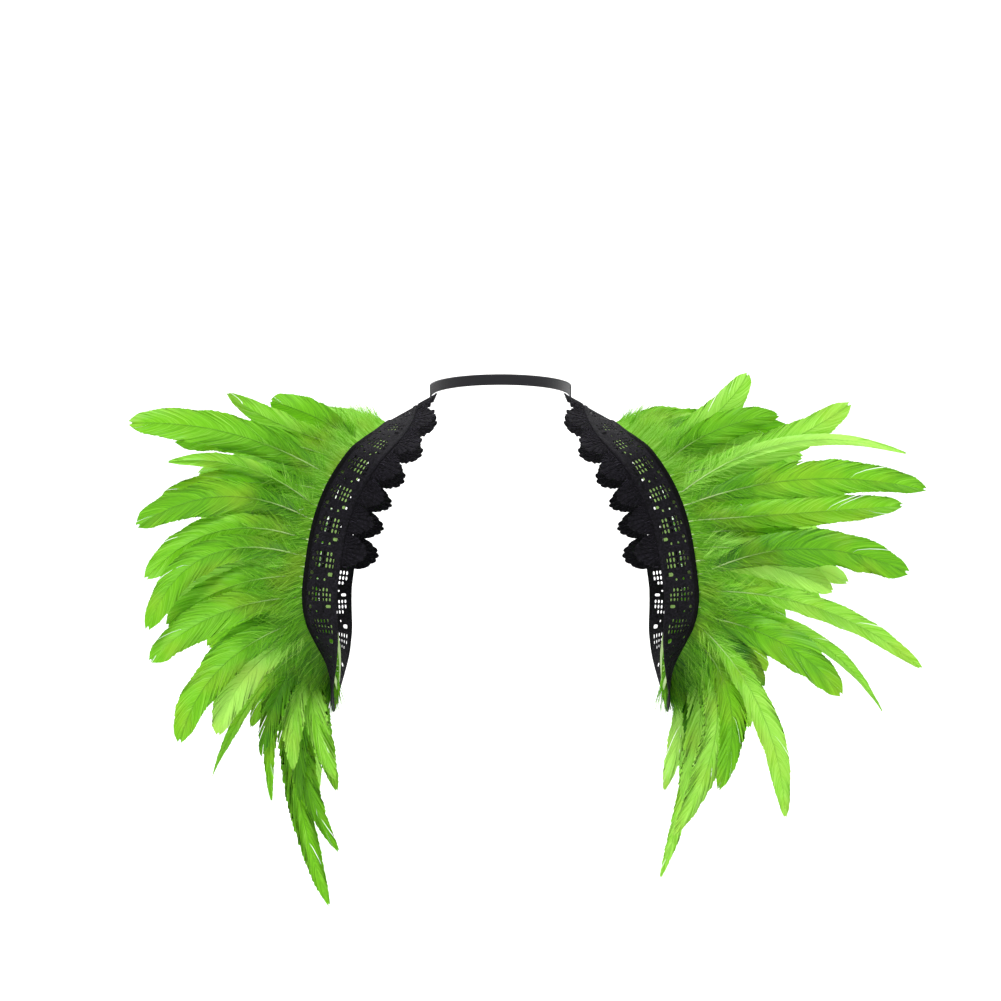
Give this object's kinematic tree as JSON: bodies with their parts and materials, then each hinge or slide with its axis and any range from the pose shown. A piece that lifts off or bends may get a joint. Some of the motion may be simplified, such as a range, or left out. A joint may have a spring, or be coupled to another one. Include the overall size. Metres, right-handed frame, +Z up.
{
  "type": "pair of feather shoulder bands, laid out as worn with no wearer",
  "caption": "Two lace armhole bands fringed with long feathers, joined behind the neck by a ribbon; worn over the shoulders as stage dress.",
  "frame": {"origin": "midway between the two bands on the shoulder line, level with the side of the neck, where the wearer's shoulders and neck hold the part", "axes": "+X to the wearer's left, -Y to the front, +Z up"},
  "size_m": [0.6047, 0.2358, 0.4283],
  "materials": {
    "black_lace": "matt guipure lace with a slight thread sheen",
    "black_lace_edging": "matt embroidered lace with a slight thread sheen",
    "green_feather": "dyed cock feather, satin",
    "black_ribbon": "matt woven ribbon"
  },
  "bodies": {
    "root": {"left_lace_band": "black_lace", "right_lace_band": "black_lace", "left_scalloped_edging": "black_lace_edging", "right_scalloped_edging": "black_lace_edging", "left_feather_fringe": "green_feather", "right_feather_fringe": "green_feather", "nape_ribbon": "black_ribbon"}
  },
  "joints": []
}
